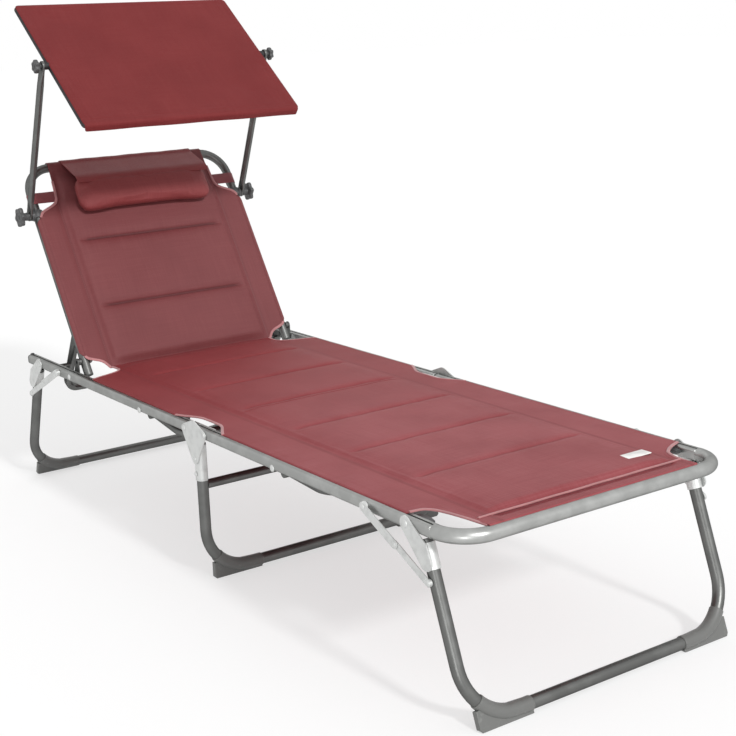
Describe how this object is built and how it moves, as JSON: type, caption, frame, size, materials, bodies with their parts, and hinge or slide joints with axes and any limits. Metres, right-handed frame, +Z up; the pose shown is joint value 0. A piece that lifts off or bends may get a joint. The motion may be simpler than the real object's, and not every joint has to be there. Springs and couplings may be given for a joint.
{
  "type": "sun lounger with canopy",
  "caption": "Folding sun lounger on bent-tube legs with a padded textile bed, an adjustable back, a head pillow and a tilting canopy.",
  "frame": {"origin": "on the floor under the middle of the bounding box, lounger standing open with the back raised", "axes": "+Y towards the head end, +Z up, +X across"},
  "size_m": [0.6212, 1.7158, 1.1113],
  "materials": {
    "graphite_tube": "satin graphite powder coat",
    "silver_plate": "satin pressed sheet",
    "dark_plastic": "moulded, fine grain",
    "textile": "woven mesh textile, padded panels"
  },
  "bodies": {
    "seat_section": {"seat_rail_left": "graphite_tube", "seat_rail_right": "graphite_tube", "rail_cap_left": "dark_plastic", "rail_cap_right": "dark_plastic", "back_hinge_bracket_left": "silver_plate", "back_hinge_bracket_right": "silver_plate", "rack_left": "graphite_tube", "rack_right": "graphite_tube", "seat_bow": "graphite_tube", "seat_cloth": "textile", "seat_handle": "textile"},
    "middle_leg": {"middle_leg": "graphite_tube", "middle_leg_crossbar": "graphite_tube", "hinge_plate_outer_left": "silver_plate", "hinge_plate_outer_right": "silver_plate", "hinge_plate_inner_left": "silver_plate", "hinge_plate_inner_right": "silver_plate", "middle_shoe_left": "dark_plastic", "middle_shoe_right": "dark_plastic"},
    "foot_section": {"foot_rail_left": "graphite_tube", "foot_rail_right": "graphite_tube", "foot_end_tube": "graphite_tube", "foot_bow": "graphite_tube", "foot_cloth": "textile", "foot_handle": "textile"},
    "foot_leg": {"foot_leg": "graphite_tube", "foot_leg_bracket_left": "silver_plate", "foot_leg_bracket_right": "silver_plate", "foot_shoe_left": "dark_plastic", "foot_shoe_right": "dark_plastic"},
    "rear_leg": {"rear_leg": "graphite_tube", "rear_leg_bracket_left": "silver_plate", "rear_leg_bracket_right": "silver_plate", "rear_shoe_left": "dark_plastic", "rear_shoe_right": "dark_plastic"},
    "foot_stay_upper": {"foot_stay_upper_left": "silver_plate", "foot_stay_upper_right": "silver_plate"},
    "foot_stay_lower": {"foot_stay_lower_left": "silver_plate", "foot_stay_lower_right": "silver_plate"},
    "rear_stay_upper": {"rear_stay_upper_left": "silver_plate", "rear_stay_upper_right": "silver_plate"},
    "rear_stay_lower": {"rear_stay_lower_left": "silver_plate", "rear_stay_lower_right": "silver_plate"},
    "backrest": {"back_frame": "graphite_tube", "back_cloth": "textile", "pillow": "textile", "arm_collar_left": "dark_plastic", "arm_collar_right": "dark_plastic"},
    "back_stand": {"back_stand": "graphite_tube"},
    "canopy_arms": {"canopy_arm_left": "graphite_tube", "canopy_arm_right": "graphite_tube"},
    "canopy": {"canopy_frame": "graphite_tube", "canopy_cloth": "textile"},
    "arm_knob_left": {"arm_knob_left": "dark_plastic"},
    "arm_knob_right": {"arm_knob_right": "dark_plastic"},
    "canopy_knob_left": {"canopy_knob_left": "dark_plastic"},
    "canopy_knob_right": {"canopy_knob_right": "dark_plastic"}
  },
  "joints": [
    {"name": "frame_fold", "type": "hinge", "parent": "seat_section", "child": "middle_leg", "pos_m": [0, 0.0055, 0.306], "axis": [1, 0, 0], "range_deg": [0, 82]},
    {"name": "foot_section_fold", "type": "hinge", "parent": "middle_leg", "child": "foot_section", "pos_m": [0, -0.0695, 0.306], "axis": [1, 0, 0], "range_deg": [0, 82]},
    {"name": "foot_leg_fold", "type": "hinge", "parent": "foot_section", "child": "foot_leg", "pos_m": [0, -0.704, 0.306], "axis": [1, 0, 0], "range_deg": [0, 105.6]},
    {"name": "rear_leg_fold", "type": "hinge", "parent": "seat_section", "child": "rear_leg", "pos_m": [0, 0.704, 0.306], "axis": [1, 0, 0], "range_deg": [-105.6, 0]},
    {"name": "foot_stay_upper_fold", "type": "hinge", "parent": "foot_section", "child": "foot_stay_upper", "pos_m": [0, -0.597, 0.306], "axis": [1, 0, 0], "range_deg": [0, 119.6]},
    {"name": "foot_stay_lower_fold", "type": "hinge", "parent": "foot_leg", "child": "foot_stay_lower", "pos_m": [0, -0.76185, 0.226], "axis": [1, 0, 0], "range_deg": [-142.5, 0]},
    {"name": "rear_stay_upper_fold", "type": "hinge", "parent": "seat_section", "child": "rear_stay_upper", "pos_m": [0, 0.597, 0.306], "axis": [1, 0, 0], "range_deg": [-119.6, 0]},
    {"name": "rear_stay_lower_fold", "type": "hinge", "parent": "rear_leg", "child": "rear_stay_lower", "pos_m": [0, 0.76185, 0.226], "axis": [1, 0, 0], "range_deg": [0, 142.5]},
    {"name": "backrest_tilt", "type": "hinge", "parent": "seat_section", "child": "backrest", "pos_m": [0, 0.544, 0.335], "axis": [1, 0, 0], "range_deg": [-57.8, 12.2]},
    {"name": "back_stand_fold", "type": "hinge", "parent": "backrest", "child": "back_stand", "pos_m": [0, 0.59961, 0.4158], "axis": [1, 0, 0], "range_deg": [-23, 109]},
    {"name": "canopy_arm_swing", "type": "hinge", "parent": "backrest", "child": "canopy_arms", "pos_m": [0, 0.73834, 0.64361], "axis": [1, 0, 0], "range_deg": [-45, 60]},
    {"name": "canopy_tilt", "type": "hinge", "parent": "canopy_arms", "child": "canopy", "pos_m": [0, 0.592, 0.981], "axis": [1, 0, 0], "range_deg": [-90, 90]},
    {"name": "arm_knob_turn_left", "type": "hinge", "parent": "backrest", "child": "arm_knob_left", "pos_m": [0, 0.73834, 0.64361], "axis": [-1, 0, 0], "range_deg": [0, 360]},
    {"name": "arm_knob_turn_right", "type": "hinge", "parent": "backrest", "child": "arm_knob_right", "pos_m": [0, 0.73834, 0.64361], "axis": [1, 0, 0], "range_deg": [0, 360]},
    {"name": "canopy_knob_turn_left", "type": "hinge", "parent": "canopy_arms", "child": "canopy_knob_left", "pos_m": [0, 0.592, 0.981], "axis": [-1, 0, 0], "range_deg": [0, 360]},
    {"name": "canopy_knob_turn_right", "type": "hinge", "parent": "canopy_arms", "child": "canopy_knob_right", "pos_m": [0, 0.592, 0.981], "axis": [1, 0, 0], "range_deg": [0, 360]}
  ],
  "couplings": [
    {"joint": "foot_section_fold", "follows": "frame_fold", "ratio": 1},
    {"joint": "foot_leg_fold", "follows": "frame_fold", "ratio": 1.2866},
    {"joint": "rear_leg_fold", "follows": "frame_fold", "ratio": -1.2866},
    {"joint": "foot_stay_upper_fold", "follows": "frame_fold", "ratio": 1.4582},
    {"joint": "foot_stay_lower_fold", "follows": "frame_fold", "ratio": -1.7372},
    {"joint": "rear_stay_upper_fold", "follows": "frame_fold", "ratio": -1.4582},
    {"joint": "rear_stay_lower_fold", "follows": "frame_fold", "ratio": 1.7372},
    {"joint": "back_stand_fold", "follows": "backrest_tilt", "ratio": -1.885}
  ]
}
